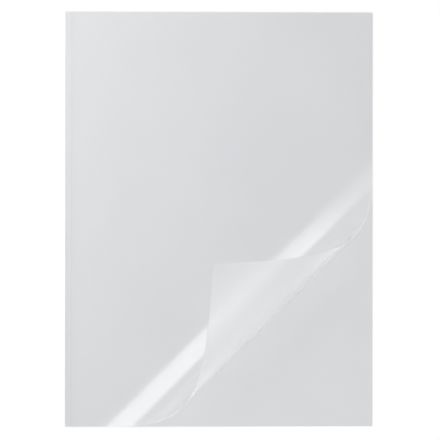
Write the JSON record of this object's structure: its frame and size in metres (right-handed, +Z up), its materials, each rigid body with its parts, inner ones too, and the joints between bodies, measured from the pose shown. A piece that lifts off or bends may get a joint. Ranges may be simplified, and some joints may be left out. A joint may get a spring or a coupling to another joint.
{
  "type": "document cover",
  "caption": "A4 document cover: pale back leaf and clear front leaf joined along a narrow folded spine, open on the other sides, lower front corner curled back.",
  "frame": {"origin": "middle of the back leaf's underside, on the surface that the cover lies on", "axes": "+X across the page from the spine to the free edge, +Y up the page, +Z up out of the page"},
  "size_m": [0.2199, 0.297, 0.0964],
  "materials": {
    "back_film": "pale grey frosted film, fine matte grain",
    "spine_film": "pale grey translucent film, satin, scored along both folds",
    "clear_film": "clear glossy film, with a slight haze that blurs what lies well behind it"
  },
  "bodies": {
    "back": {"back_leaf": "back_film"},
    "spine": {"spine_strip": "spine_film"},
    "front": {"front_leaf": "clear_film"}
  },
  "joints": [
    {"name": "rear_fold", "type": "hinge", "parent": "back", "child": "spine", "pos_m": [-0.11105, 0, 0.0001], "axis": [0, -1, 0], "range_deg": [0, 164.3]},
    {"name": "front_fold", "type": "hinge", "parent": "spine", "child": "front", "pos_m": [-0.1057, 0, 0.0016], "axis": [0, -1, 0], "range_deg": [0, 12.8]}
  ],
  "couplings": [
    {"joint": "front_fold", "follows": "rear_fold", "ratio": 0.0779}
  ]
}
